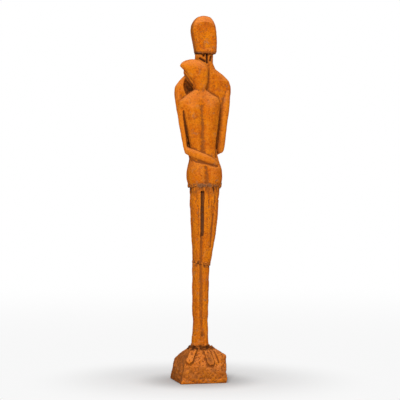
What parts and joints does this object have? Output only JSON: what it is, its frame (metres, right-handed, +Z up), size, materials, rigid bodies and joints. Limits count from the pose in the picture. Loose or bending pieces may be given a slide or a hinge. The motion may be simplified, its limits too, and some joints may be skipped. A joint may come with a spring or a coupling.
{
  "type": "cast iron garden statue",
  "caption": "Tall slim embracing couple in rusty cast iron, plain featureless heads, standing on a rough-hewn square block.",
  "frame": {"origin": "centre of the block's flat underside, which it stands on", "axes": "+Z up the figures, -Y the front towards which the woman's back faces, +X to the viewer's right from the front"},
  "size_m": [0.1926, 0.151, 1.197],
  "materials": {
    "block_rust": "rough brown rust with pits and mould scars",
    "figure_rust": "rough orange rust, darker in hollows, grey-brown at the joins"
  },
  "bodies": {
    "root": {"block_with_feet": "block_rust", "lower_legs": "figure_rust", "thighs": "figure_rust", "embracing_torsos": "figure_rust", "man_head": "figure_rust"}
  },
  "joints": []
}
